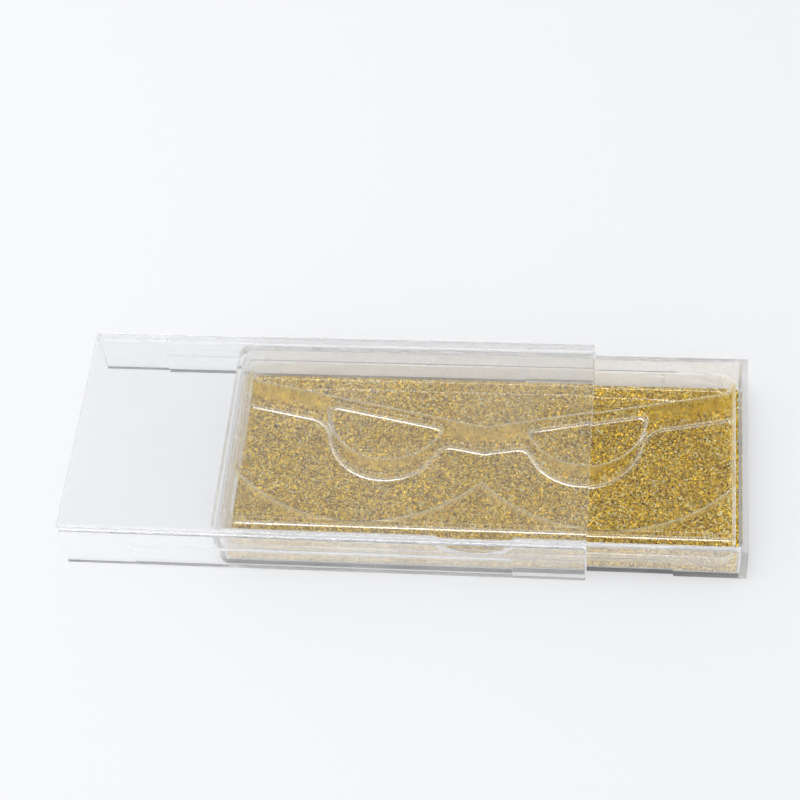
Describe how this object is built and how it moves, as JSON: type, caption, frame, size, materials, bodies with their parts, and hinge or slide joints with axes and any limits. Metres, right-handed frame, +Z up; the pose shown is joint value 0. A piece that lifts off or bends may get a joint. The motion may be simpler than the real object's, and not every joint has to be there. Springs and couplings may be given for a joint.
{
  "type": "false eyelash case",
  "caption": "Clear slide-out case for false eyelashes: an open-ended sleeve over a drawer with a glitter card and a spectacle-shaped lash tray.",
  "frame": {"origin": "middle of the resting underside of the whole case with the drawer at its pictured position", "axes": "+X along the slide, the way the drawer pulls out; +Y across, away from the finger notch; +Z up from the table"},
  "size_m": [0.1426, 0.052, 0.0124],
  "materials": {
    "clear_sleeve": "clear moulded plastic, gloss",
    "clear_drawer": "clear moulded plastic, gloss",
    "gold_glitter": "coarse gold glitter on card",
    "clear_insert": "clear thermoformed sheet, gloss"
  },
  "bodies": {
    "sleeve": {"sleeve": "clear_sleeve"},
    "drawer": {"drawer": "clear_drawer", "glitter_card": "gold_glitter", "lash_tray": "clear_insert"}
  },
  "joints": [
    {"name": "drawer_slide", "type": "slide", "parent": "sleeve", "child": "drawer", "axis": [1, 0, 0], "range_m": [-0.0324, 0.085]}
  ]
}
